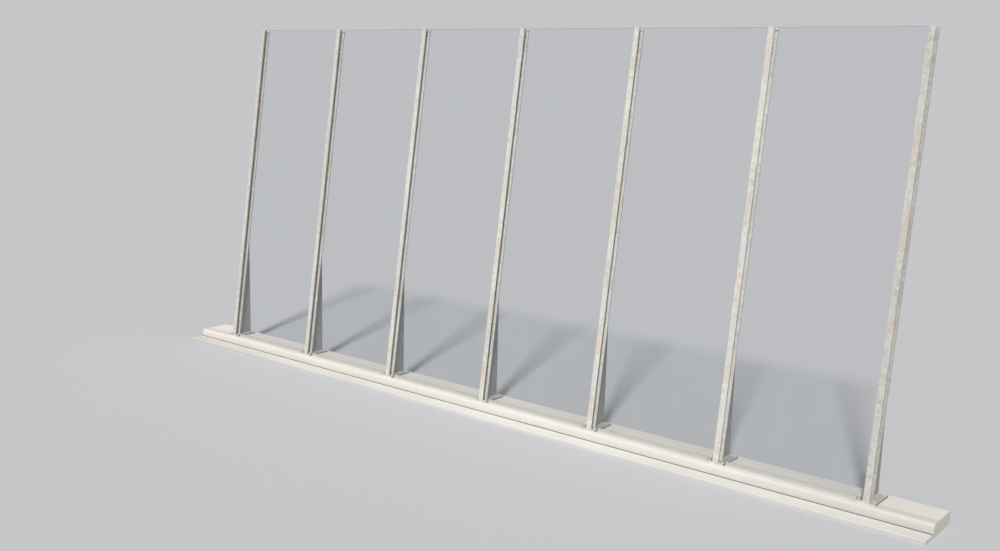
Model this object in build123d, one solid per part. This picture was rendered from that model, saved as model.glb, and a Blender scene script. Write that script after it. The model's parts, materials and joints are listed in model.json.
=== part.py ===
from build123d import *
import math
import os

# Transparent noise barrier: six bays of clear panes between leaning steel posts,
# on a concrete plinth. Lengths are in millimetres and angles in degrees.
# X runs along the barrier, +Y is the way the posts lean and +Z is up.
# The origin is on the underside of the plinth, where the middle post's axis would meet it
# if the post stood plumb on its foot.

# The row of bays
bay_count = 6
bay_pitch = 2400.0
lean_angle = 8.0

# Posts: three plates welded to an H section, with the wider flange at the back
post_length = 6735.0
post_depth = 124.0
front_flange_width = 98.0
rear_flange_width = 130.0
flange_thickness = 18.0
web_thickness = 12.0

# Haunch plate behind each post's foot
haunch_depth = 333.0
haunch_thickness = 12.0
haunch_nose = 12.0

# Base plate under each post
plate_width = 300.0
plate_thickness = 25.0
plate_front_margin = 28.0
plate_rear_margin = 20.0
plate_corner_radius = 12.0

# Concrete plinth
plinth_rise = 140.0
plinth_front_margin = 72.0
plinth_rear_margin = 90.0
arris_radius = 45.0
rear_chamfer = 12.0
end_overhang = 1000.0

# Concrete strip at the foot of the plinth
strip_width = 320.0
strip_depth = 60.0
joint_width = 14.0
joint_depth = 22.0
strip_chamfer = 8.0

# Panes and what holds them in the posts' slots
pane_thickness = 20.0
seal_wall = 6.0
seal_base = 6.0
seal_lip = 12.0
pane_foot_gap = 12.0
shoe_wall = 8.0
shoe_lip = 14.0
shoe_side_gap = 6.0
packer_levels = 5
packer_length = 80.0
packer_width = 8.0
packer_web_gap = 10.0
packer_end_margin = 300.0

# How far a cutting block passes the faces that it opens
overcut = 1.0

# Levels
strip_top = strip_depth
plinth_top = strip_top + plinth_rise
plate_top = plinth_top + plate_thickness

# Places across the barrier, all at the level of the base plates' top
lean = math.radians(lean_angle)
half_depth = post_depth / 2
flange_front_y = -half_depth / math.cos(lean)
flange_back_y = half_depth / math.cos(lean)
haunch_back_y = flange_back_y + haunch_depth
plate_front_y = flange_front_y - plate_front_margin
plate_rear_y = haunch_back_y + plate_rear_margin
plinth_front_y = plate_front_y - plinth_front_margin
plinth_rear_y = plate_rear_y + plinth_rear_margin

# Places along the barrier
post_count = bay_count + 1
row_length = bay_count * bay_pitch
plinth_length = row_length + 2 * end_overhang


def post_x(index):
    return index * bay_pitch - row_length / 2


def bay_x(index):
    return post_x(index) + bay_pitch / 2


# Slot between a post's flanges, measured along the leaning section from its middle
slot_half = half_depth - flange_thickness
pane_half = pane_thickness / 2
seal_half = pane_half + seal_wall
web_half = web_thickness / 2
pane_width = bay_pitch - web_thickness - 2 * seal_base


def lean_back(shape, x):
    # Takes a shape built plumb, with its foot at the origin, to its leaning place in the row
    return Pos(x, 0, plate_top) * Rot(-lean_angle, 0, 0) * shape


def block(x_low, x_high, y_low, y_high, z_low, z_high):
    size = Box(x_high - x_low, y_high - y_low, z_high - z_low)
    return Pos((x_low + x_high) / 2, (y_low + y_high) / 2, (z_low + z_high) / 2) * size


def cut_level(shape, level):
    # Keeps what lies above a level
    return split(shape, bisect_by=Plane.XY.offset(level), keep=Keep.TOP)


def side_profile(points, x_low, x_high):
    # A solid with the same outline, given as (y, z) points, all along X
    outline = make_face(Polyline([(0, y, z) for y, z in points], close=True))
    return Pos(x_low, 0, 0) * extrude(outline, amount=x_high - x_low, dir=(1, 0, 0))


def plinth_solid():
    half_length = plinth_length / 2
    top_start = plinth_front_y + arris_radius
    slope_end = plinth_rear_y - rear_chamfer
    arc_middle = arris_radius * (1 - math.sqrt(0.5))
    front = Line((0, plinth_front_y, 0), (0, plinth_front_y, plinth_top - arris_radius))
    arris = ThreePointArc(
        (0, plinth_front_y, plinth_top - arris_radius),
        (0, plinth_front_y + arc_middle, plinth_top - arc_middle),
        (0, top_start, plinth_top),
    )
    rest = Polyline(
        [
            (0, top_start, plinth_top),
            (0, slope_end, plinth_top),
            (0, plinth_rear_y, plinth_top - rear_chamfer),
            (0, plinth_rear_y, 0),
            (0, plinth_front_y, 0),
        ]
    )
    outline = make_face([front, arris, rest])
    return Pos(-half_length, 0, 0) * extrude(outline, amount=plinth_length, dir=(1, 0, 0))


def strip_solid():
    # The joint is a groove along the strip's upper back edge
    back = plinth_front_y
    front = back - strip_width
    points = [
        (front, 0),
        (front, strip_top - strip_chamfer),
        (front + strip_chamfer, strip_top),
        (back - joint_width, strip_top),
        (back - joint_width, strip_top - joint_depth),
        (back, strip_top - joint_depth),
        (back, 0),
    ]
    return side_profile(points, -plinth_length / 2, plinth_length / 2)


def post_solids(x):
    # Web, front flange and rear flange, drawn longer below the foot and cut level on the base plate
    below = post_depth
    plates = [
        (web_thickness, -slot_half, slot_half),
        (front_flange_width, -half_depth, -slot_half),
        (rear_flange_width, slot_half, half_depth),
    ]
    solids = []
    for width, near, far in plates:
        plate = block(-width / 2, width / 2, near, far, -below, post_length)
        solids.append(cut_level(lean_back(plate, x), plate_top))
    return solids


def haunch_solid(x):
    # Its front edge follows the post's back, and its back edge is plumb
    reach = haunch_depth - haunch_nose
    height = reach / math.tan(lean)
    points = [
        (flange_back_y, plate_top),
        (haunch_back_y, plate_top),
        (haunch_back_y, plate_top + height),
        (haunch_back_y - haunch_nose, plate_top + height),
    ]
    return side_profile(points, x - haunch_thickness / 2, x + haunch_thickness / 2)


def plate_solid(x):
    half_width = plate_width / 2
    plate = block(x - half_width, x + half_width, plate_front_y, plate_rear_y, plinth_top, plate_top)
    return fillet(plate.edges().filter_by(Axis.Z), radius=plate_corner_radius)


def pane_solid(x):
    half_width = pane_width / 2
    pane = block(-half_width, half_width, -pane_half, pane_half, pane_foot_gap, post_length)
    return lean_back(pane, x)


def edge_seal_solids(x):
    # One channel on each upright edge, its back against the post's web
    solids = []
    for side in (-1, 1):
        web_face = side * (bay_pitch / 2 - web_half)
        lip_end = web_face - side * (seal_base + seal_lip)
        pane_edge = web_face - side * seal_base
        opened_end = lip_end - side * overcut
        channel = block(
            min(web_face, lip_end),
            max(web_face, lip_end),
            -seal_half,
            seal_half,
            pane_foot_gap,
            post_length,
        )
        channel -= block(
            min(pane_edge, opened_end),
            max(pane_edge, opened_end),
            -pane_half,
            pane_half,
            pane_foot_gap - overcut,
            post_length + overcut,
        )
        solids.append(lean_back(channel, x))
    return solids


def packer_solids(x):
    # Blocks between the seals and the flanges, at even heights, before and behind the pane
    solids = []
    spacing = (post_length - 2 * packer_end_margin - packer_length) / (packer_levels - 1)
    for side in (-1, 1):
        outer = side * (bay_pitch / 2 - web_half - packer_web_gap)
        inner = outer - side * packer_width
        for face in (-1, 1):
            near = face * seal_half
            far = face * slot_half
            for level in range(packer_levels):
                low = packer_end_margin + level * spacing
                packer = block(
                    min(outer, inner),
                    max(outer, inner),
                    min(near, far),
                    max(near, far),
                    low,
                    low + packer_length,
                )
                solids.append(lean_back(packer, x))
    return solids


def shoe_solid(x):
    # A leaning channel under the pane, cut level on the plinth between two base plates
    half_width = (bay_pitch - plate_width) / 2 - shoe_side_gap
    outer = pane_half + shoe_wall
    below = plate_thickness + 2 * outer
    lip_top = pane_foot_gap + shoe_lip
    shoe = block(-half_width, half_width, -outer, outer, -below, lip_top)
    shoe -= block(
        -half_width - overcut,
        half_width + overcut,
        -pane_half,
        pane_half,
        pane_foot_gap,
        lip_top + overcut,
    )
    return cut_level(lean_back(shoe, x), plinth_top)


def save(name, shape):
    export_step(shape, "parts/" + name + ".step")


def main():
    os.makedirs("parts", exist_ok=True)
    save("foundation_beam", plinth_solid())
    save("toe_strip", strip_solid())
    for index in range(post_count):
        number = str(index + 1)
        x = post_x(index)
        save("post_" + number, Compound(children=post_solids(x)))
        save("haunch_" + number, haunch_solid(x))
        save("base_plate_" + number, plate_solid(x))
    for index in range(bay_count):
        number = str(index + 1)
        x = bay_x(index)
        save("pane_" + number, pane_solid(x))
        save("edge_seals_" + number, Compound(children=edge_seal_solids(x)))
        save("glazing_packers_" + number, Compound(children=packer_solids(x)))
    save("foot_seals", Compound(children=[shoe_solid(bay_x(index)) for index in range(bay_count)]))


main()
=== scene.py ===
import json
import math

import bpy
from mathutils import Matrix, Vector

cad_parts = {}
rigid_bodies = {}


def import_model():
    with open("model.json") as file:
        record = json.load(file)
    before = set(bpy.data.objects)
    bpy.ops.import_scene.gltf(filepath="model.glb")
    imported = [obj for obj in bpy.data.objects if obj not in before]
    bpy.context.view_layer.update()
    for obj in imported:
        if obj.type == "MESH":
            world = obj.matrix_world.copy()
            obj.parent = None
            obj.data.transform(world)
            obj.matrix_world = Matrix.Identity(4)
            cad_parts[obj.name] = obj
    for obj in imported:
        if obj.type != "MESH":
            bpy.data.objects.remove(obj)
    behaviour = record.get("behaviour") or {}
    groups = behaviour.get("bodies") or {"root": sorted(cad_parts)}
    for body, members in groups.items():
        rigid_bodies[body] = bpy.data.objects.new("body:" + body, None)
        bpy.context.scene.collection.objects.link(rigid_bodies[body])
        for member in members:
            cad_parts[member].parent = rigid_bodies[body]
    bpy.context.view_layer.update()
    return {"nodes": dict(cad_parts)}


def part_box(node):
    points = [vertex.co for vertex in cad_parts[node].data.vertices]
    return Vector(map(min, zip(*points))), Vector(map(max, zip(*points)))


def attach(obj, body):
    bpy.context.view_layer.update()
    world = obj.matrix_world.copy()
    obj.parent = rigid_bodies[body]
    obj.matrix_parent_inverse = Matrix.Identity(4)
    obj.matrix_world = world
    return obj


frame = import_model()
print("frame loaded:", len(frame["nodes"]), "nodes")

postCount = len([name for name in frame["nodes"] if name.startswith("post_")])
bayCount = postCount - 1
leanAngle = math.radians(8.0)  # the posts lean back by this much
rideBody = "root"
nearby = 0.001  # places closer than this count as the same

plateLow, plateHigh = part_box("base_plate_1")
postLow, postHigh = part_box("post_1")
haunchLow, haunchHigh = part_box("haunch_1")
plateTop = plateHigh.z
postFront = postLow.y
postBack = -postFront  # on the base plate
haunchHalf = (haunchHigh.x - haunchLow.x) / 2
webHalf = haunchHalf  # the web is as thick as the haunch plate
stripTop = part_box("toe_strip")[1].z
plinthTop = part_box("foundation_beam")[1].z
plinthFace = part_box("foundation_beam")[0].y


def middleX(node):
    low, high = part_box(node)
    return (low.x + high.x) / 2


def footReach(axis, test):
    # how far the first post's points on the base plate lie from its middle
    middle = (middleX("post_1"), 0.0)
    points = [point.co for point in frame["nodes"]["post_1"].data.vertices]
    standing = [point for point in points if point.z < plateTop + nearby and test(point)]
    return max(abs(point[axis] - middle[axis]) for point in standing)


frontHalf = footReach(0, lambda point: point.y < postFront + nearby)  # half the front flange
rearHalf = footReach(0, lambda point: point.y > postBack - nearby)  # half the rear flange
slotEdge = footReach(1, lambda point: abs(point.y) < postBack - 2 * nearby)


class Wire:
    # a node's output that can be added, subtracted and multiplied
    def __init__(self, finish, socket):
        self.finish = finish
        self.socket = socket

    def sums(self, operation, first, second):
        return self.finish.node("ShaderNodeMath", {"operation": operation}, {0: first, 1: second})

    def __add__(self, other):
        return self.sums("ADD", self, other)

    def __radd__(self, other):
        return self.sums("ADD", other, self)

    def __sub__(self, other):
        return self.sums("SUBTRACT", self, other)

    def __rsub__(self, other):
        return self.sums("SUBTRACT", other, self)

    def __mul__(self, other):
        return self.sums("MULTIPLY", self, other)

    def __rmul__(self, other):
        return self.sums("MULTIPLY", other, self)


def colour4(value):
    if isinstance(value, Wire):
        return value
    return (value[0], value[1], value[2], 1.0)


class Finish:
    # one material, or the world, and what makes its nodes
    def __init__(self, owner, outputKind="ShaderNodeOutputMaterial"):
        owner.use_nodes = True
        self.owner = owner
        self.tree = owner.node_tree
        self.tree.nodes.clear()
        self.output = self.tree.nodes.new(outputKind)

    def node(self, kind, settings=None, values=None, out=0):
        made = self.tree.nodes.new(kind)
        for key, value in (settings or {}).items():
            setattr(made, key, value)
        for key, value in (values or {}).items():
            if isinstance(value, Wire):
                self.tree.links.new(value.socket, made.inputs[key])
            else:
                made.inputs[key].default_value = value
        return Wire(self, made.outputs[out])

    def place(self, lean=0.0, stretch=(1.0, 1.0, 1.0), shift=(0.0, 0.0, 0.0)):
        # the object's own coordinates, turned about X and shifted first, then stretched
        start = self.node("ShaderNodeTexCoord", out="Object")
        turned = {"Vector": start, "Rotation": (lean, 0.0, 0.0), "Location": shift}
        upright = self.node("ShaderNodeMapping", {}, turned)
        return self.node("ShaderNodeMapping", {}, {"Vector": upright, "Scale": stretch})

    def clouds(self, where, scale, detail, roughness):
        sizes = {"Vector": where, "Scale": scale, "Detail": detail, "Roughness": roughness}
        return self.node("ShaderNodeTexNoise", {}, sizes)

    def crystals(self, where, scale):
        # one random grey for each cell
        cells = {"Vector": where, "Scale": scale}
        tint = self.node("ShaderNodeTexVoronoi", {}, cells, out="Color")
        return self.node("ShaderNodeSeparateColor", {}, {"Color": tint}, out="Red")

    def pits(self, where, scale):
        # how far each point lies from the middle of its cell
        cells = {"Vector": where, "Scale": scale}
        return self.node("ShaderNodeTexVoronoi", {}, cells, out="Distance")

    def reach(self, value, ends, results=(0.0, 1.0)):
        # takes a value between two ends to one between two results, and holds it there outside
        sockets = {"Value": value, "From Min": ends[0], "From Max": ends[1]}
        sockets.update({"To Min": results[0], "To Max": results[1]})
        return self.node("ShaderNodeMapRange", {"clamp": True}, sockets)

    def mix(self, factor, first, second):
        settings = {"data_type": "RGBA", "clamp_factor": True}
        sockets = {0: factor, 6: colour4(first), 7: colour4(second)}  # 6 and 7 are the colours
        return self.node("ShaderNodeMix", settings, sockets, out=2)

    def blend(self, factor, first, second):
        return self.node("ShaderNodeMixShader", {}, {0: factor, 1: first, 2: second})

    def dim(self, colour, factor):
        # a colour made lighter or darker by a number
        sockets = {0: colour, "Scale": factor}
        return self.node("ShaderNodeVectorMath", {"operation": "SCALE"}, sockets)

    def bump(self, height, distance, strength):
        sockets = {"Height": height, "Distance": distance, "Strength": strength}
        return self.node("ShaderNodeBump", {}, sockets)

    def part(self, where, axis):
        return self.node("ShaderNodeSeparateXYZ", {}, {"Vector": where}, out=axis)

    def facing(self, axis):
        # how far the surface faces along one axis
        return self.part(self.node("ShaderNodeNewGeometry", out="Normal"), axis)

    def sideways(self):
        # 1 on faces that look along the row, 0 on the others
        across = self.facing("X")
        return self.reach(across * across, (0.2, 0.5))

    def show(self, shader):
        self.tree.links.new(shader.socket, self.output.inputs["Surface"])
        return self.owner

    def surface(self, **values):
        named = {key.replace("_", " "): value for key, value in values.items()}
        return self.show(self.node("ShaderNodeBsdfPrincipled", {}, named, out="BSDF"))


def newFinish(name):
    return Finish(bpy.data.materials.new(name))


def alongLength(length, shares, start=0.0):
    # two places on a length, given as shares of it
    return (start + length * shares[0], start + length * shares[1])


# the posts' coat: pale zinc with broad weathered patches, blotches a hand wide and fine spangle
zincLook = {
    "pale": (0.78, 0.765, 0.693),
    "grey": (0.53, 0.525, 0.483),
    "bloom": (0.81, 0.795, 0.735),
    "warm": (0.68, 0.57, 0.505),
    "cool": (0.63, 0.665, 0.655),
    "stain": (0.42, 0.35, 0.28),
    "dust": (0.50, 0.485, 0.45),
    "patch": 3.2,  # cells for each metre in every layer of the pattern
    "blotch": 11.0,
    "mottle": 30.0,
    "crystal": 62.0,
    "streak": 70.0,
    "patchShare": 0.5,  # and what each layer adds to the tone
    "blotchShare": 0.9,
    "mottleShare": 0.85,
    "crystalShare": 0.14,
    "streakShare": 0.25,
    "patchStretch": 0.3,  # patches and streaks are drawn out along the post
    "streakStretch": 0.02,
    "toneEnds": (1.08, 1.46),  # the tone at which the zinc is all grey, and all pale
    "tintPatch": 2.3,  # faint pinkish and bluish areas
    "tintStretch": 0.6,
    "warmShift": (3.1, 5.7, 1.3),  # each from its own stretch of the pattern
    "coolShift": (9.4, 2.2, 6.8),
    "tintFrom": 0.40,
    "tintRise": 0.2,
    "tintMost": 0.5,
    "bandPitch": 1.2,  # along a post, from one bluish stretch to the next
    "bandStart": 0.9,
    "bandWander": 0.25,
    "bandPatch": 1.7,
    "warmWave": (0.4, -0.3),  # the wave is 1 in the middle of a bluish stretch
    "coolWave": (0.1, 0.7),
    "bloomPatch": 4.5,  # bloom and stains have this many times as many patches
    "bloomEnds": (0.56, 0.72),
    "bloomMost": 0.5,
    "stainPatch": 1.3,
    "stainShift": (7.3, 2.1, 0.4),
    "stainEnds": (0.56, 0.78),
    "stainMost": 0.22,
    "dustFacing": (0.6, 0.9),  # dust lies on faces that look up
    "dustTop": 0.5,  # how much of its colour shows there
    "dustEnds": (0.2, 0.6),
    "dustThin": 0.8,
    "metal": 0.1,
    "roughEnds": (0.35, 0.65),
    "rough": (0.42, 0.68),
    "reliefHeight": 0.0006,
    "reliefStrength": 0.6,
    "reliefCrystal": 0.25,
    "reliefMottle": 0.75,
    "paintedSideShade": 0.62,  # painted shade: faces that look along the row are darker
}
# what changes from place to place on the posts
postLook = {
    "web": 1.25,  # painted light: the web's sides in the slots are lighter
    # painted light: the rear flange's inner faces are lighter
    "paintedInnerLight": 1.22,
    "openSlot": 0.84,  # but not in the end posts' open slots
    "rearDepth": (0.0, 0.01),  # behind the post's middle
    "rearFacing": (-0.9, -0.7),  # faces that look forward
    "ageRight": 0.835,  # the end posts are a little duller
    "ageLeft": 0.925,
    "ageTop": 0.95,
    "rightZone": (0.67, 1.0),  # shares of the way from the middle to the end post
    "leftZone": (-1.0, -0.5),
    "topZone": (0.8, 0.93),  # shares of the post's length
}
# painted shade: the haunches' zinc is darker than the posts'
shadedHaunchLook = {
    "pale": (0.345, 0.34, 0.33),
    "grey": (0.25, 0.25, 0.247),
    "bloom": (0.39, 0.385, 0.375),
    "warm": (0.325, 0.295, 0.275),
    "cool": (0.265, 0.28, 0.29),
    "patch": 4.0,
    "tintFrom": 0.5,
    "bandPitch": 0.0,  # no bands
    "paintedSideShade": 0.84,
    "footTone": 1.13,  # lighter toward the foot
    "headTone": 0.95,
    "footZone": (0.1, 0.5),  # shares of the haunch's height
}
plateLook = {
    "dust": (0.42, 0.415, 0.393),
    "dustTop": 0.95,
    "tintFrom": 0.5,
    "bandPitch": 0.0,
    "patchStretch": 1.0,
    "streakStretch": 1.0,
    "paintedSideShade": 0.30,
}
fixingLook = {
    "pale": (0.70, 0.695, 0.66),
    "grey": (0.52, 0.515, 0.49),
    "metal": 0.3,
    "tintFrom": 0.5,
    "bandPitch": 0.0,
    "patch": 20.0,
    "blotch": 60.0,
    "mottle": 160.0,
    "crystal": 240.0,
    "dustTop": 0.2,
    "paintedSideShade": 1.0,
}
weldLook = dict(fixingLook, metal=0.2)


# painted shade: darker faces that look along the row
def plainShade(coat, look):
    return 1 - coat.sideways() * (1 - look["paintedSideShade"])


def haunchShade(coat, look):
    height = coat.part(coat.place(), "Z")
    zone = alongLength(haunchHigh.z - plateTop, look["footZone"], plateTop)
    footLift = coat.reach(height, zone, (look["footTone"], look["headTone"]))
    return plainShade(coat, look) * footLift


def postLength(coat):
    # how far up the leaning post a point lies
    return coat.part(coat.place(leanAngle), "Z") - plateTop * math.cos(leanAngle)


def tintBands(coat, look):
    # along a post the coat turns from faintly pinkish to faintly bluish and back
    if not look["bandPitch"]:
        return {"warm": 1.0, "cool": 1.0}
    wander = coat.clouds(coat.place(), look["bandPatch"], detail=3.0, roughness=0.55)
    length = postLength(coat) + wander * look["bandWander"] - look["bandWander"] / 2
    phase = (length - look["bandStart"]) * (math.tau / look["bandPitch"])
    wave = coat.node("ShaderNodeMath", {"operation": "COSINE"}, {0: phase})
    return {"warm": coat.reach(wave, look["warmWave"]), "cool": coat.reach(wave, look["coolWave"])}


def postShade(coat, look):
    # the post's own section: along the row, and square to it behind the post's middle
    section = coat.place(leanAngle, shift=(0.0, plateTop * math.sin(leanAngle), 0.0))
    along = coat.part(section, "X")
    depth = coat.part(section, "Y")
    # painted shade darkens the sides of the flanges, and painted light lightens the web's sides
    # between them
    slot = slotEdge * math.cos(leanAngle)
    inSlot = coat.reach(depth * depth, ((slot - nearby) ** 2, (slot + nearby) ** 2), (1.0, 0.0))
    side = coat.sideways() * (look["paintedSideShade"] - 1 + inSlot * (look["web"] - look["paintedSideShade"]))
    # painted light lightens the rear flange's inner face too, except beyond the end posts' webs,
    # where it is darker
    innerFace = coat.reach(coat.facing("Y"), look["rearFacing"], (1.0, 0.0))
    rear = coat.reach(depth, look["rearDepth"]) * innerFace
    endX = middleX(f"post_{postCount}")
    beyond = coat.reach(along * along, (endX ** 2, (endX + 2 * nearby) ** 2))
    innerLight = rear * (look["paintedInnerLight"] - 1 - beyond * (look["paintedInnerLight"] - look["openSlot"]))
    # age dulls the end posts and the tops
    ageRight = coat.reach(along, alongLength(endX, look["rightZone"]), (1.0, look["ageRight"]))
    ageLeft = coat.reach(along, alongLength(endX, look["leftZone"]), (look["ageLeft"], 1.0))
    topZone = alongLength((postHigh.z - plateTop) / math.cos(leanAngle), look["topZone"])
    ageTop = coat.reach(postLength(coat), topZone, (1.0, look["ageTop"]))
    return (1 + side + innerLight) * ageRight * ageLeft * ageTop


def zincTone(coat, look, lean, layers):
    # greyer and paler zinc, from all the layers of the pattern
    runs = coat.place(lean, (1.0, 1.0, look["streakStretch"]))
    streaks = coat.clouds(runs, look["streak"], detail=3.0, roughness=0.6)
    tone = layers["patches"] * look["patchShare"] + layers["blotch"] * look["blotchShare"]
    tone = tone + layers["mottle"] * look["mottleShare"]
    tone = tone + layers["crystal"] * look["crystalShare"] + streaks * look["streakShare"]
    return coat.mix(coat.reach(tone, look["toneEnds"]), look["grey"], look["pale"])


def addTints(coat, look, lean, colour):
    bands = tintBands(coat, look)
    ends = (look["tintFrom"], look["tintFrom"] + look["tintRise"])
    for shade in ("warm", "cool"):
        where = coat.place(lean, (1.0, 1.0, look["tintStretch"]), look[shade + "Shift"])
        area = coat.clouds(where, look["tintPatch"], detail=4.0, roughness=0.6)
        amount = coat.reach(area, ends, (0.0, look["tintMost"]))
        colour = coat.mix(amount * bands[shade], colour, look[shade])
    return colour


def addWeather(coat, look, lean, layers, colour):
    # pale bloom, brown stains, and dust on what looks up
    bloomScale = look["patch"] * look["bloomPatch"]
    spots = coat.clouds(layers["tall"], bloomScale, detail=5.0, roughness=0.7)
    bloom = coat.reach(spots, look["bloomEnds"], (0.0, look["bloomMost"]))
    colour = coat.mix(bloom, colour, look["bloom"])
    stainPlace = coat.place(lean, (1.0, 1.0, look["patchStretch"]), look["stainShift"])
    stainScale = look["patch"] * look["stainPatch"]
    stains = coat.clouds(stainPlace, stainScale, detail=4.0, roughness=0.6)
    stain = coat.reach(stains, look["stainEnds"], (0.0, look["stainMost"]))
    colour = coat.mix(stain, colour, look["stain"])
    upward = coat.reach(coat.facing("Z"), look["dustFacing"], (0.0, look["dustTop"]))
    uneven = coat.reach(layers["mottle"], look["dustEnds"], (look["dustThin"], 1.0))
    return coat.mix(upward * uneven, colour, look["dust"])


def zincCoat(name, changes, lean=0.0, shadeOf=plainShade):
    look = dict(zincLook, **changes)
    coat = newFinish(name)
    plain = coat.place(lean)
    tall = coat.place(lean, (1.0, 1.0, look["patchStretch"]))
    layers = {
        "tall": tall,  # coordinates for what is drawn out along the post
        "patches": coat.clouds(tall, look["patch"], detail=4.0, roughness=0.6),
        "blotch": coat.clouds(plain, look["blotch"], detail=3.0, roughness=0.6),
        "mottle": coat.clouds(plain, look["mottle"], detail=5.0, roughness=0.68),
        "crystal": coat.crystals(plain, look["crystal"]),
    }
    colour = zincTone(coat, look, lean, layers)
    colour = addTints(coat, look, lean, colour)
    colour = addWeather(coat, look, lean, layers, colour)
    colour = coat.dim(colour, shadeOf(coat, look))
    rough = coat.reach(layers["mottle"], look["roughEnds"], look["rough"])
    height = layers["crystal"] * look["reliefCrystal"] + layers["mottle"] * look["reliefMottle"]
    relief = coat.bump(height, look["reliefHeight"], look["reliefStrength"])
    return coat.surface(Base_Color=colour, Metallic=look["metal"], Roughness=rough, Normal=relief)


# the plinth: cream concrete with fine sand, few pores, faint drips and a darker foot
plinthLook = {
    "light": (0.82, 0.775, 0.708),
    "dark": (0.735, 0.694, 0.632),
    "damp": (0.61, 0.57, 0.505),
    "pore": (0.50, 0.47, 0.42),
    "cloud": 0.9,  # cells for each metre in every pattern
    "grain": 46.0,
    "sand": 420.0,
    "cloudShare": 1.0,  # what each pattern adds to the tone
    "grainShare": 0.45,
    "sandShare": 0.25,
    "cloudStretch": (0.35, 1.0, 2.2),  # long and low, as the concrete was poured
    "toneEnds": (0.68, 1.02),
    "drip": 1.0,
    "dripStretch": (9.0, 9.0, 0.5),
    "dripEnds": (0.4, 0.75),
    "dripTone": 0.1,
    "lowTone": 0.18,  # how much more the drips darken the foot
    "lowPlain": 0.25,  # and the share of it that darkens the foot between them
    "lowHeight": 0.8,  # up to this share of the plinth's height
    "poreCells": 34.0,
    "poreChance": (0.62, 0.66),  # cells with a lower random grey have no pore
    "poreSize": 0.09,
    "poreRim": 0.6,  # the share of it that is at full depth
    "poreTone": 0.7,
    "topFacing": (0.1, 0.6),  # from the cast front, round the arris, to the top
    "paintedTopShade": 0.935,  # painted shade: the top is darker than the cast front
    "dirtAndShadeTone": 0.875,  # dirt and painted shade darken it before the panes' feet
    # painted light: the top is lighter behind the panes
    "paintedRearLight": 1.03,
    "ageRight": 0.875,  # both ends are a little darker than the middle
    "ageLeft": 0.97,
    "ageFrom": 1.5,  # from the row's middle
    "ageTo": 6.5,
    "roughEnds": (0.3, 0.7),
    "rough": (0.72, 0.9),
    "reliefHeight": 0.0022,
    "reliefStrength": 0.7,
    "reliefGrain": 0.5,
    "reliefSand": 0.35,
    "reliefPore": 1.6,
}
stripLook = {
    "light": (0.755, 0.725, 0.683),
    "dark": (0.67, 0.643, 0.605),
    "cloud": 1.3,
    "grain": 60.0,
    "poreSize": 0.07,
    "lowTone": 0.1,
    "paintedTopShade": 1.0,
    "dirtAndShadeTone": 1.0,
    "ageRight": 0.935,
    "ageLeft": 0.86,
}


def dampMask(cast, look, plain):
    # drips and damp, more of both low down
    where = cast.place(stretch=look["dripStretch"])
    drip = cast.clouds(where, look["drip"], detail=4.0, roughness=0.6)
    low = cast.reach(cast.part(plain, "Z"), (stripTop, plinthTop * look["lowHeight"]), (1.0, 0.0))
    drips = cast.reach(drip, look["dripEnds"]) * (look["dripTone"] + low * look["lowTone"])
    return drips + low * look["lowTone"] * look["lowPlain"]


def poreMask(cast, look, plain):
    # a few cells of the pattern have a pore in the middle
    hole = cast.pits(plain, look["poreCells"])
    few = cast.reach(cast.crystals(plain, look["poreCells"]), look["poreChance"])
    rim = alongLength(look["poreSize"], (look["poreRim"], 1.0))
    return cast.reach(hole, rim, (1.0, 0.0)) * few


def castShade(cast, look, plain):
    # the top gets darker toward the panes' feet, from dirt and painted shade, and painted light
    # makes it lighter behind them
    depth = cast.part(plain, "Y")
    dirtAndShade = cast.reach(depth, (postFront * 2, postFront / 2), (look["paintedTopShade"], look["dirtAndShadeTone"]))
    behind = cast.reach(depth, (postBack / 3, postBack))
    upper = dirtAndShade + behind * (look["paintedRearLight"] - dirtAndShade)
    top = 1 + cast.reach(cast.facing("Z"), look["topFacing"]) * (upper - 1)
    # and age dulls both ends
    length = cast.part(plain, "X")
    right = cast.reach(length, (look["ageFrom"], look["ageTo"]), (1.0, look["ageRight"]))
    left = cast.reach(length, (-look["ageTo"], -look["ageFrom"]), (look["ageLeft"], 1.0))
    return top * right * left


def castConcrete(name, changes):
    look = dict(plinthLook, **changes)
    cast = newFinish(name)
    plain = cast.place()
    where = cast.place(stretch=look["cloudStretch"])
    clouds = cast.clouds(where, look["cloud"], detail=5.0, roughness=0.6)
    grain = cast.clouds(plain, look["grain"], detail=6.0, roughness=0.7)
    sand = cast.clouds(plain, look["sand"], detail=3.0, roughness=0.7)
    pore = poreMask(cast, look, plain)
    tone = clouds * look["cloudShare"] + grain * look["grainShare"] + sand * look["sandShare"]
    colour = cast.mix(cast.reach(tone, look["toneEnds"]), look["dark"], look["light"])
    colour = cast.mix(dampMask(cast, look, plain), colour, look["damp"])
    colour = cast.mix(pore * look["poreTone"], colour, look["pore"])
    colour = cast.dim(colour, castShade(cast, look, plain))
    height = grain * look["reliefGrain"] + sand * look["reliefSand"] - pore * look["reliefPore"]
    relief = cast.bump(height, look["reliefHeight"], look["reliefStrength"])
    rough = cast.reach(grain, look["roughEnds"], look["rough"])
    return cast.surface(Base_Color=colour, Roughness=rough, Normal=relief)


# the panes: clear sheets with a thin film of dust, mirrors at a flat angle, with solid edges
paneLook = {
    "tint": (0.948, 0.952, 0.957),  # passed at each face
    "edge": (0.17, 0.20, 0.20),
    "paintedLightEdge": (0.86, 0.865, 0.85),  # painted light: the upright edges, in their seals, are pale
    "edgeFacing": (0.45, 0.55),  # where an edge turns into a sheet face
    "edgeRoughness": 0.35,
    "shine": (0.93, 0.95, 0.97),
    "bend": 1.49,
    "haze": 0.03,
    "film": (0.80, 0.81, 0.79),  # the dust
    "filmPatch": 2.6,
    "filmStretch": 0.25,
    "filmEnds": (0.35, 0.8),
    "filmAmount": (0.004, 0.03),
}


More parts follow.
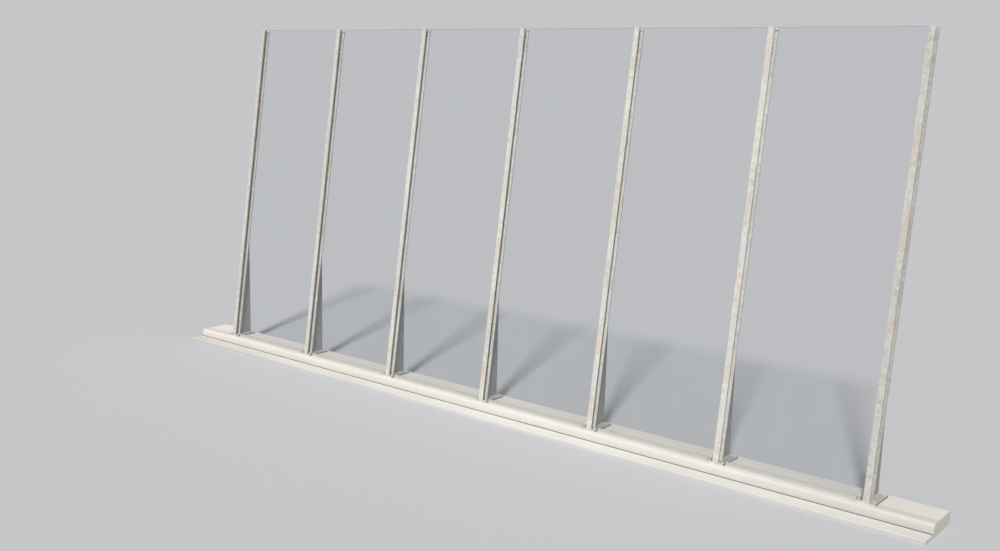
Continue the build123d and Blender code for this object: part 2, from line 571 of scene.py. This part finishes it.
def clearPane(name):
    look = paneLook
    pane = newFinish(name)
    # 1 on the faces that look out of the leaning sheet to either side, 0 on its edges
    normal = pane.node("ShaderNodeNewGeometry", out="Normal")
    across = (0.0, math.cos(leanAngle), -math.sin(leanAngle))
    square = {"operation": "DOT_PRODUCT"}
    facing = pane.node("ShaderNodeVectorMath", square, {0: normal, 1: across}, out="Value")
    unsigned = pane.node("ShaderNodeMath", {"operation": "ABSOLUTE"}, {0: facing})
    edge = 1 - pane.reach(unsigned, look["edgeFacing"])
    passed = pane.node("ShaderNodeBsdfTransparent", {}, {"Color": colour4(look["tint"])})
    polish = {"Color": colour4(look["shine"]), "Roughness": look["haze"]}
    mirror = pane.node("ShaderNodeBsdfGlossy", {}, polish)
    filmPlace = pane.place(leanAngle, (1.0, 1.0, look["filmStretch"]))
    dust = pane.clouds(filmPlace, look["filmPatch"], detail=5.0, roughness=0.65)
    film = pane.node("ShaderNodeBsdfDiffuse", {}, {"Color": colour4(look["film"])})
    footLift = pane.blend(pane.reach(dust, look["filmEnds"], look["filmAmount"]), passed, film)
    # alike from both sides of a face, so that no view finds it black
    inside = pane.node("ShaderNodeNewGeometry", out="Backfacing")
    bend = pane.reach(inside, (0.0, 1.0), (look["bend"], 1 / look["bend"]))
    fresnel = pane.node("ShaderNodeFresnel", {}, {"IOR": bend})
    face = pane.blend(fresnel, footLift, mirror)
    rimTint = pane.mix(pane.sideways(), look["edge"], look["paintedLightEdge"])
    edgeLook = {"Base Color": rimTint, "Roughness": look["edgeRoughness"], "IOR": look["bend"]}
    rim = pane.node("ShaderNodeBsdfPrincipled", {}, edgeLook, out="BSDF")
    return pane.show(pane.blend(edge, face, rim))


# rubber, plastic and sealant: one colour that wears to another in soft patches
# the seals' values come first, and the others change some of them
sealLook = {
    # painted light: the seals' pale grey lightens the shaded slots
    "colour": (0.63, 0.625, 0.605),
    "worn": (0.77, 0.765, 0.745),
    "rough": 0.55,
    "roughMore": 0.15,  # added where the grain is high
    "roughEnds": (0.3, 0.7),
    "grain": 55.0,
    "broad": 0.06,  # the broad patches' number against the grain's
    "grainShare": 0.6,
    "broadShare": 0.4,
    "wornEnds": (0.35, 0.68),
    "reliefHeight": 0.0008,
    "reliefStrength": 0.5,
    "washMost": 0.0,
}
packerLook = {
    "colour": (0.45, 0.45, 0.445),
    "worn": (0.56, 0.56, 0.55),
    "rough": 0.5,
}
shadedShoeLook = {
    # painted shade: the shoes are as dark as the shaded plinth top behind the panes
    "colour": (0.46, 0.445, 0.415),
    "worn": (0.535, 0.52, 0.485),
    "rough": 0.6,
}
# mortar is washed over the joint's sealant, fullest toward the plinth, and painted light lightens
# it there against the corner's shade
sealantLook = {
    "colour": (0.085, 0.08, 0.07),
    "worn": (0.155, 0.145, 0.125),
    "rough": 0.65,
    "washAndLight": (0.50, 0.475, 0.435),
    "washFrom": 0.016,  # before the plinth's face
    "washTo": 0.005,
    "washMost": 0.75,
}


def softFill(name, changes):
    look = dict(sealLook, **changes)
    fill = newFinish(name)
    plain = fill.place()
    grain = fill.clouds(plain, look["grain"], detail=5.0, roughness=0.65)
    broad = fill.clouds(plain, look["grain"] * look["broad"], detail=3.0, roughness=0.5)
    wear = fill.reach(grain * look["grainShare"] + broad * look["broadShare"], look["wornEnds"])
    tint = fill.mix(wear, look["colour"], look["worn"])
    if look["washMost"]:
        washEnds = (plinthFace - look["washFrom"], plinthFace - look["washTo"])
        washedAndLit = fill.reach(fill.part(plain, "Y"), washEnds, (0.0, look["washMost"]))
        tint = fill.mix(washedAndLit, tint, look["washAndLight"])
    rough = fill.reach(grain, look["roughEnds"], (look["rough"], look["rough"] + look["roughMore"]))
    relief = fill.bump(grain, look["reliefHeight"], look["reliefStrength"])
    return fill.surface(Base_Color=tint, Roughness=rough, Normal=relief)


def dress(node, material):
    target = frame["nodes"][node].data
    target.materials.clear()
    target.materials.append(material)


postZinc = zincCoat("weatheredZinc", postLook, leanAngle, postShade)
shadedHaunchZinc = zincCoat("shadedHaunchZinc", shadedHaunchLook, shadeOf=haunchShade)
plateZinc = zincCoat("plateZinc", plateLook)
boltZinc = zincCoat("boltZinc", fixingLook)
weldZinc = zincCoat("weldZinc", weldLook)
plinthCast = castConcrete("plinthConcrete", {})
stripCast = castConcrete("stripConcrete", stripLook)
paneClear = clearPane("clearPane")
litSealRubber = softFill("litSealRubber", {})
packerPlastic = softFill("packerPlastic", packerLook)
shadedShoeRubber = softFill("shadedShoeRubber", shadedShoeLook)
jointFill = softFill("jointFill", sealantLook)

for number in range(1, postCount + 1):
    dress(f"post_{number}", postZinc)
    dress(f"haunch_{number}", shadedHaunchZinc)
    dress(f"base_plate_{number}", plateZinc)
for number in range(1, bayCount + 1):
    dress(f"pane_{number}", paneClear)
    dress(f"edge_seals_{number}", litSealRubber)
    dress(f"glazing_packers_{number}", packerPlastic)
dress("foundation_beam", plinthCast)
dress("toe_strip", stripCast)
dress("foot_seals", shadedShoeRubber)
print("materials set on the frame")


levelFace = 0.9  # a face whose normal is more upright than this counts as level


def clearSelection():
    for thing in bpy.context.view_layer.objects:
        thing.select_set(False)


def selectOnly(piece):
    clearSelection()
    piece.select_set(True)
    bpy.context.view_layer.objects.active = piece


def newest(name):
    piece = bpy.context.object
    piece.name = name
    piece.data.name = name
    return piece


def settle(piece):
    # the place goes into the mesh
    selectOnly(piece)
    bpy.ops.object.transform_apply(location=True, rotation=True, scale=True)


def pick(piece, kind, test):
    # selects the vertices, edges or polygons that pass a test, and nothing else
    bpy.ops.object.mode_set(mode="OBJECT")
    for items in (piece.data.vertices, piece.data.edges, piece.data.polygons):
        for item in items:
            item.select = False
    for item in getattr(piece.data, kind):
        item.select = bool(test(item))
    bpy.ops.object.mode_set(mode="EDIT")


def roundPart(name, sides, radius, height, base, bevel):
    # an upright prism with its top edges bevelled
    clearSelection()
    place = (0.0, 0.0, base + height / 2)
    bpy.ops.mesh.primitive_cylinder_add(
        vertices=sides, radius=radius, depth=height, location=place
    )
    part = newest(name)
    settle(part)
    bpy.ops.object.mode_set(mode="EDIT")
    bpy.ops.mesh.select_mode(type="FACE")
    pick(part, "polygons", lambda face: face.normal.z > levelFace)
    bpy.ops.mesh.bevel(offset=bevel, segments=1, affect="EDGES")
    bpy.ops.object.mode_set(mode="OBJECT")
    return part


def openTube(name, sides, radius, height, base):
    # one ring of a thread or bead, open at both ends and cut once at half its height
    clearSelection()
    middle = (0.0, 0.0, base + height / 2)
    bpy.ops.mesh.primitive_cylinder_add(
        vertices=sides, radius=radius, depth=height, end_fill_type="NOTHING", location=middle
    )
    tube = newest(name)
    settle(tube)
    bpy.ops.object.mode_set(mode="EDIT")
    bpy.ops.mesh.select_mode(type="EDGE")
    bpy.ops.mesh.select_all(action="SELECT")
    bpy.ops.mesh.subdivide(number_cuts=1)
    bpy.ops.mesh.select_mode(type="VERT")
    return tube


def stackUp(tube, step, count):
    # copies of the ring on top of one another, joined where they meet
    bpy.ops.object.mode_set(mode="OBJECT")
    stack = tube.modifiers.new("stack", "ARRAY")
    stack.use_relative_offset = False
    stack.use_constant_offset = True
    stack.constant_offset_displace = (0.0, 0.0, step)
    stack.count = count
    stack.use_merge_vertices = True
    stack.merge_threshold = step / 20
    bpy.context.view_layer.objects.active = tube
    bpy.ops.object.modifier_apply(modifier="stack")
    bpy.ops.object.mode_set(mode="EDIT")


def closeEnd(tube, test):
    pick(tube, "vertices", test)
    bpy.ops.mesh.edge_face_add()


def joinAll(parts, name):
    clearSelection()
    for part in parts:
        part.select_set(True)
    bpy.context.view_layer.objects.active = parts[0]
    bpy.ops.object.join()
    return newest(name)


def copyAt(piece, move, turn=0.0):
    twin = piece.copy()
    twin.data = piece.data.copy()
    bpy.context.scene.collection.objects.link(twin)
    twin.data.transform(Matrix.Translation(move) @ Matrix.Rotation(turn, 4, "Z"))
    return twin


def finishPiece(piece, material, smoothAngle):
    piece.data.materials.clear()
    piece.data.materials.append(material)
    selectOnly(piece)
    bpy.ops.object.shade_smooth_by_angle(angle=math.radians(smoothAngle))
    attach(piece, rideBody)


boltSizes = {
    "sideways": 0.112,  # from the post's middle
    "frontInset": 0.048,  # from the base plate's edges
    "backInset": 0.05,
    "washerRadius": 0.0185,
    "washerHeight": 0.003,
    "washerBevel": 0.0006,
    "washerSides": 28,
    "nutAcross": 0.030,
    "nutHeight": 0.016,
    "nutBevel": 0.0018,
    "studRadius": 0.0098,
    "studAbove": 0.018,
    "studSides": 16,
    "threadPitch": 0.0025,
    "threadDepth": 0.0012,
    "turns": (17.0, 31.0, 11.0),  # degrees for each post, row and side, so that no two nuts match
    "smoothAngle": 30.0,
}


def studThread(base):
    size = boltSizes
    pitch = size["threadPitch"]
    middle = base + pitch / 2
    thread = openTube("thread", size["studSides"], size["studRadius"], pitch, base)
    pick(thread, "vertices", lambda point: abs(point.co.z - middle) > pitch / 4)
    share = 1 - size["threadDepth"] / size["studRadius"]
    bpy.ops.transform.resize(value=(share, share, 1.0), center_override=(0.0, 0.0, middle))
    count = int(size["studAbove"] / pitch)
    stackUp(thread, pitch, count)
    top = base + count * pitch
    closeEnd(thread, lambda point: point.co.z > top - pitch / 4)
    bpy.ops.object.mode_set(mode="OBJECT")
    return thread


def anchorBolt():
    size = boltSizes
    washer = roundPart(
        "washer",
        size["washerSides"],
        size["washerRadius"],
        size["washerHeight"],
        0.0,
        size["washerBevel"],
    )
    nutRadius = size["nutAcross"] / math.sqrt(3.0)  # at the corners
    nut = roundPart("nut", 6, nutRadius, size["nutHeight"], size["washerHeight"], size["nutBevel"])
    thread = studThread(size["washerHeight"] + size["nutHeight"])
    return joinAll([washer, nut, thread], "anchorBolt")


def boltsOnPlate(pattern, number):
    size = boltSizes
    centre = middleX(f"post_{number}")
    byPost, byRow, bySide = size["turns"]
    rows = (plateLow.y + size["frontInset"], plateHigh.y - size["backInset"])
    copies = []
    for side in (-1, 1):
        for row, depth in enumerate(rows):
            turn = math.radians(byPost * number + byRow * row + bySide * side)
            place = (centre + side * size["sideways"], depth, plateTop)
            copies.append(copyAt(pattern, place, turn))
    return joinAll(copies, f"anchor_bolts_{number}")


pattern = anchorBolt()
for number in range(1, postCount + 1):
    bolts = boltsOnPlate(pattern, number)
    finishPiece(bolts, boltZinc, boltSizes["smoothAngle"])
bpy.data.objects.remove(pattern)
print("anchor bolts placed")


weldSizes = {
    "radius": 0.0055,
    "ripple": 0.007,
    "seamRipple": 0.06,  # the long seams between web and flanges are smoother
    "seamEnd": 0.004,  # they stop this far below the post's top
    "swell": 1.14,
    "sides": 10,
    "smoothAngle": 60.0,
}


def weldRun(start, end, ripple):
    # a rippled bead from one point to the other
    size = weldSizes
    route = Vector(end) - Vector(start)
    count = max(2, round(route.length / ripple))
    step = route.length / count
    bead = openTube("bead", size["sides"], size["radius"], step, 0.0)
    pick(bead, "vertices", lambda point: abs(point.co.z - step / 2) < step / 8)
    swell = (size["swell"], size["swell"], 1.0)
    bpy.ops.transform.resize(value=swell, center_override=(0.0, 0.0, step / 2))
    stackUp(bead, step, count)
    for height in (0.0, route.length):
        closeEnd(bead, lambda point: abs(point.co.z - height) < step / 8)
    bpy.ops.object.mode_set(mode="OBJECT")
    turn = Vector((0.0, 0.0, 1.0)).rotation_difference(route).to_matrix().to_4x4()
    bead.data.transform(Matrix.Translation(start) @ turn)
    return bead


def footRuns():
    # the runs on the base plate, as pairs of (x, y) places
    haunchFoot = haunchHigh.y
    flange = postBack - slotEdge
    runs = [
        ((-frontHalf, postFront), (frontHalf, postFront)),
        ((-haunchHalf, haunchFoot), (haunchHalf, haunchFoot)),
    ]
    for hand in (-1, 1):
        front, rear, haunch = hand * frontHalf, hand * rearHalf, hand * haunchHalf
        runs.append(((front, postFront), (front, postFront + flange)))
        runs.append(((rear, slotEdge), (rear, postBack)))
        runs.append(((haunch, postBack), (rear, postBack)))
        runs.append(((haunch, postBack), (haunch, haunchFoot)))
    return runs


def weldsOnPost():
    # every run on one post, its foot and its haunch, for a post at X = 0
    ripple = weldSizes["ripple"]
    slope = math.tan(leanAngle)
    beads = []
    for start, end in footRuns():
        beads.append(weldRun((*start, plateTop), (*end, plateTop), ripple))
    haunchBack = postBack + (haunchHigh.z - plateTop) * slope
    # the slots' edges end where the leaning section is cut square
    seamRise = postHigh.z - plateTop - 2 * slotEdge * math.sin(leanAngle) - weldSizes["seamEnd"]
    for hand in (-1, 1):
        haunch, web = hand * haunchHalf, hand * webHalf
        head = (haunch, haunchBack, haunchHigh.z)
        beads.append(weldRun((haunch, postBack, plateTop), head, ripple))
        for edge in (-slotEdge, slotEdge):
            head = (web, edge + seamRise * slope, plateTop + seamRise)
            beads.append(weldRun((web, edge, plateTop), head, weldSizes["seamRipple"]))
    return joinAll(beads, "weldPattern")


pattern = weldsOnPost()
for number in range(1, postCount + 1):
    welds = copyAt(pattern, (middleX(f"post_{number}"), 0.0, 0.0))
    welds.name = f"post_welds_{number}"
    finishPiece(welds, weldZinc, weldSizes["smoothAngle"])
bpy.data.objects.remove(pattern)
print("welds laid")


# the sealant fills the groove between strip and plinth and laps over the strip's edge
sealantSizes = {
    "groove": 0.014,
    "lap": 0.026,
    "film": 0.0012,
    "deep": 0.018,
    "crown": (0.0, 0.0006, 0.0008, 0.0004, 0.0),  # from the lap's edge to the plinth
    "endGap": 0.002,
    "smoothAngle": 80.0,
}


def acrossJoint(piece, line):
    # how far an edge runs across the joint
    first, second = (piece.data.vertices[index].co for index in line.vertices)
    return abs(first.y - second.y)


def isAt(point, place, height):
    # whether a point lies at a place across the joint, and above a height
    return abs(point.co.y - place) < nearby and point.co.z > height


def jointSealant():
    size = sealantSizes
    low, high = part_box("toe_strip")
    width = size["groove"] + size["lap"]
    front = high.y - width
    centre = ((low.x + high.x) / 2, front + width / 2, stripTop + size["film"] / 2)
    block = (high.x - low.x - 2 * size["endGap"], width, size["film"])
    clearSelection()
    bpy.ops.mesh.primitive_cube_add(size=1.0, location=centre, scale=block)
    bead = newest("joint_sealant")
    settle(bead)
    # the sheet that laps over the strip, with a low crown
    bpy.ops.object.mode_set(mode="EDIT")
    bpy.ops.mesh.select_mode(type="EDGE")
    pick(bead, "edges", lambda line: acrossJoint(bead, line) > width / 2)
    spans = len(size["crown"]) - 1
    bpy.ops.mesh.subdivide(number_cuts=spans - 1)
    bpy.ops.mesh.select_mode(type="VERT")
    for row, rise in enumerate(size["crown"]):
        place = front + width * row / spans
        pick(bead, "vertices", lambda point: isAt(point, place, centre[2]))
        bpy.ops.transform.translate(value=(0.0, 0.0, rise))
    # and the fill in the groove below it
    bpy.ops.mesh.select_mode(type="FACE")
    grooveFront = front + size["lap"]
    pick(bead, "polygons", lambda face: face.normal.z < -levelFace and face.center.y > grooveFront)
    down = {"value": (0.0, 0.0, -size["deep"])}
    bpy.ops.mesh.extrude_region_move(TRANSFORM_OT_translate=down)
    bpy.ops.object.mode_set(mode="OBJECT")
    return bead


finishPiece(jointSealant(), jointFill, sealantSizes["smoothAngle"])
print("joint sealed")


# the floor looks pale to the camera and in reflections, and throws less light back on the part
stageLook = {
    "floor": (0.53, 0.533, 0.54),
    "floorBounce": (0.40, 0.40, 0.40),
    "floorSize": 900.0,
    "floorDrop": 0.0005,  # below the part's underside
    "ambient": (0.95, 0.975, 1.0),
    "ambientStrength": 0.37,
    "sunStrength": 3.05,
    "sunHeight": 46.0,
    "sunAside": 26.0,
    "sunSoftness": 6.0,
    "sunDistance": 30.0,
}


def seenDirectly(finish):
    # 1 for what the camera, a reflection or a clear thing shows, 0 for light on the part
    seen = finish.node("ShaderNodeLightPath", out="Is Camera Ray")
    for ray in ("Is Glossy Ray", "Is Transmission Ray"):
        other = finish.node("ShaderNodeLightPath", out=ray)
        seen = finish.node("ShaderNodeMath", {"operation": "MAXIMUM"}, {0: seen, 1: other})
    return seen


def farFloor():
    # how bright the open floor looks, so that the backdrop meets it without a line
    look = stageLook
    sun = look["sunStrength"] * math.sin(math.radians(look["sunHeight"])) / math.pi
    lit = [sun + look["ambientStrength"] * sky for sky in look["ambient"]]
    return [tone * light for tone, light in zip(look["floor"], lit)]


def fillWorld():
    look = stageLook
    world = bpy.data.worlds.new("studio")
    bpy.context.scene.world = world
    sky = Finish(world, "ShaderNodeOutputWorld")
    ambient = {"Color": colour4(look["ambient"]), "Strength": look["ambientStrength"]}
    backdrop = {"Color": colour4(farFloor()), "Strength": 1.0}
    light = sky.node("ShaderNodeBackground", {}, ambient)
    shown = sky.node("ShaderNodeBackground", {}, backdrop)
    sky.show(sky.blend(seenDirectly(sky), light, shown))


def layFloor():
    look = stageLook
    clearSelection()
    place = (0.0, 0.0, -look["floorDrop"])
    bpy.ops.mesh.primitive_plane_add(size=look["floorSize"], location=place)
    floor = newest("floor")
    paint = newFinish("floorPaint")
    bounce = paint.node("ShaderNodeBsdfDiffuse", {}, {"Color": colour4(look["floorBounce"])})
    shown = paint.node("ShaderNodeBsdfDiffuse", {}, {"Color": colour4(look["floor"])})
    floor.data.materials.append(paint.show(paint.blend(seenDirectly(paint), bounce, shown)))


def hangSun():
    look = stageLook
    height = math.radians(look["sunHeight"])
    aside = math.radians(look["sunAside"])
    flat = math.cos(height)
    toSun = Vector((math.sin(aside) * flat, -math.cos(aside) * flat, math.sin(height)))
    clearSelection()
    bpy.ops.object.light_add(type="SUN", location=toSun * look["sunDistance"])
    sun = bpy.context.object
    sun.name = "sun"
    sun.data.energy = look["sunStrength"]
    sun.data.angle = math.radians(look["sunSoftness"])
    sun.rotation_mode = "QUATERNION"
    sun.rotation_quaternion = toSun.to_track_quat("Z", "Y")


# the photograph's view: the camera's place from the last post's foot, in metres, and its angles
photoView = {
    "besidePost": 5.301,
    "beforePost": 15.022,
    "abovePlate": 5.884,
    "turnLeft": 39.0,
    "lookDown": 10.37,
    "tilt": 1.46,
    "focalPixels": 1106.9,
    "imageWidth": 1000,
    "sensorWidth": 36.0,
    "clipEnd": 2000.0,
}


def setCamera():
    see = photoView
    lastX = middleX(f"post_{postCount}")
    place = Vector((lastX + see["besidePost"], -see["beforePost"], plateTop + see["abovePlate"]))
    turn = Matrix.Rotation(math.radians(see["turnLeft"]), 4, "Z")
    tip = Matrix.Rotation(math.radians(90.0 - see["lookDown"]), 4, "X")
    tilt = Matrix.Rotation(math.radians(see["tilt"]), 4, "Z")
    clearSelection()
    bpy.ops.object.camera_add()
    camera = bpy.context.object
    camera.name = "camera"
    camera.matrix_world = Matrix.Translation(place) @ turn @ tip @ tilt
    camera.data.sensor_width = see["sensorWidth"]
    camera.data.lens = see["sensorWidth"] * see["focalPixels"] / see["imageWidth"]
    camera.data.clip_end = see["clipEnd"]
    bpy.context.scene.camera = camera


fillWorld()
layFloor()
hangSun()
setCamera()
bpy.context.scene.view_settings.view_transform = "Standard"
print("stage set")
